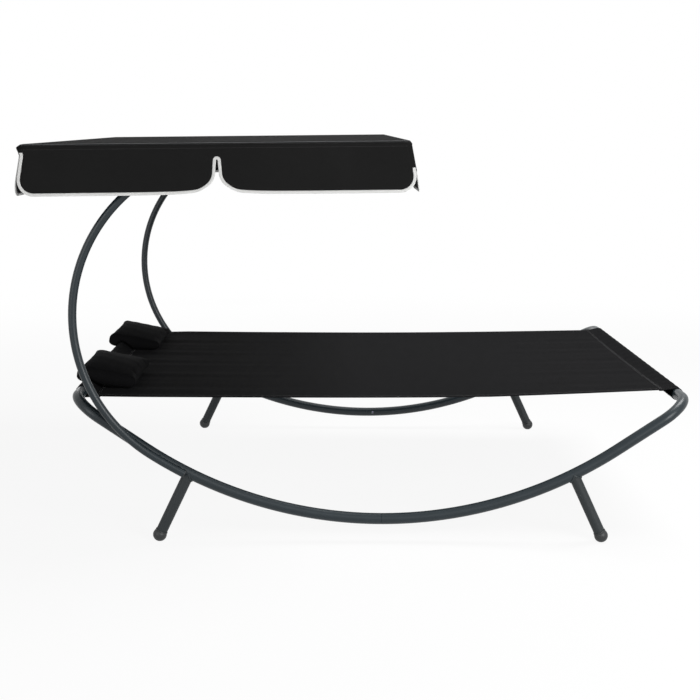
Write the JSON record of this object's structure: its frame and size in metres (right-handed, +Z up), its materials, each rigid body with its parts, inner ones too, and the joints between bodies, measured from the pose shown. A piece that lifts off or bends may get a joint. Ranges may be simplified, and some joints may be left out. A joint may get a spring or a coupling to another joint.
{
  "type": "sun lounger with canopy",
  "caption": "Low double lounge bed: a fabric sheet slung between bowed tube rails on splayed legs, loose pillows, and a tilting fabric canopy on curved arms over the head end.",
  "frame": {"origin": "on the floor under the middle of the whole object's box, canopy included", "axes": "+X along the bed towards the foot end, +Y to the far side in the picture, +Z up"},
  "size_m": [2.1226, 1.897, 1.2791],
  "materials": {
    "frame_paint": "satin anthracite powder coat",
    "leg_paint": "matt dark grey powder coat",
    "fastener_steel": "zinc-plated steel",
    "foot_plastic": "matt moulded plastic",
    "spacer_plastic": "matt moulded plastic",
    "knob_plastic": "matt moulded plastic",
    "bed_cloth": "coated woven mesh",
    "canopy_cloth": "tight woven polyester with white piping on its edges",
    "pillow_cloth": "tight woven polyester"
  },
  "bodies": {
    "frame": {"arm_bolt_lower_far": "fastener_steel", "arm_bolt_lower_near": "fastener_steel", "arm_bolt_upper_far": "fastener_steel", "arm_bolt_upper_near": "fastener_steel", "arm_foot_plug_far": "foot_plastic", "arm_foot_plug_near": "foot_plastic", "arm_spacer_lower_far": "spacer_plastic", "arm_spacer_lower_near": "spacer_plastic", "arm_spacer_upper_far": "spacer_plastic", "arm_spacer_upper_near": "spacer_plastic", "arm_top_plug_far": "foot_plastic", "arm_top_plug_near": "foot_plastic", "canopy_arm_far": "frame_paint", "canopy_arm_near": "frame_paint", "foot_ball_foot_far": "foot_plastic", "foot_ball_foot_near": "foot_plastic", "foot_cross_tube": "frame_paint", "foot_leg_far": "leg_paint", "foot_leg_near": "leg_paint", "foot_rail_far": "frame_paint", "foot_rail_near": "frame_paint", "head_ball_foot_far": "foot_plastic", "head_ball_foot_near": "foot_plastic", "head_cross_tube": "frame_paint", "head_leg_far": "leg_paint", "head_leg_near": "leg_paint", "head_rail_far": "frame_paint", "head_rail_near": "frame_paint", "knob_washer_far": "fastener_steel", "knob_washer_near": "fastener_steel", "pivot_spacer_far": "spacer_plastic", "pivot_spacer_near": "spacer_plastic", "rail_joint_bolt_far": "fastener_steel", "rail_joint_bolt_near": "fastener_steel", "sling": "bed_cloth"},
    "canopy": {"canopy_cover": "canopy_cloth", "canopy_cross_rail_foot": "frame_paint", "canopy_cross_rail_head": "frame_paint", "canopy_cross_rail_middle": "frame_paint", "canopy_rail_plug_foot_far": "foot_plastic", "canopy_rail_plug_foot_near": "foot_plastic", "canopy_rail_plug_head_far": "foot_plastic", "canopy_rail_plug_head_near": "foot_plastic", "canopy_screw_foot_far": "fastener_steel", "canopy_screw_foot_near": "fastener_steel", "canopy_screw_head_far": "fastener_steel", "canopy_screw_head_near": "fastener_steel", "canopy_screw_middle_far": "fastener_steel", "canopy_screw_middle_near": "fastener_steel", "canopy_side_rail_far": "frame_paint", "canopy_side_rail_near": "frame_paint", "pivot_bolt_far": "fastener_steel", "pivot_bolt_near": "fastener_steel"},
    "tilt_knob_near": {"tilt_knob_near": "knob_plastic"},
    "tilt_knob_far": {"tilt_knob_far": "knob_plastic"},
    "pillow_near": {"pillow_near": "pillow_cloth"},
    "pillow_far": {"pillow_far": "pillow_cloth"}
  },
  "joints": [
    {"name": "canopy_tilt", "type": "hinge", "parent": "frame", "child": "canopy", "pos_m": [-0.44848, 0, 1.23431], "axis": [0, 1, 0], "range_deg": [-16, 20]},
    {"name": "tilt_knob_near_turn", "type": "hinge", "parent": "canopy", "child": "tilt_knob_near", "pos_m": [-0.44848, -0.8564, 1.23431], "axis": [0, 1, 0], "continuous": true},
    {"name": "tilt_knob_far_turn", "type": "hinge", "parent": "canopy", "child": "tilt_knob_far", "pos_m": [-0.44848, 0.8564, 1.23431], "axis": [0, 1, 0], "continuous": true},
    {"name": "pillow_near_lift", "type": "slide", "parent": "frame", "child": "pillow_near", "axis": [0, 0, 1], "range_m": [0, 0.25]},
    {"name": "pillow_far_lift", "type": "slide", "parent": "frame", "child": "pillow_far", "axis": [0, 0, 1], "range_m": [0, 0.25]}
  ]
}
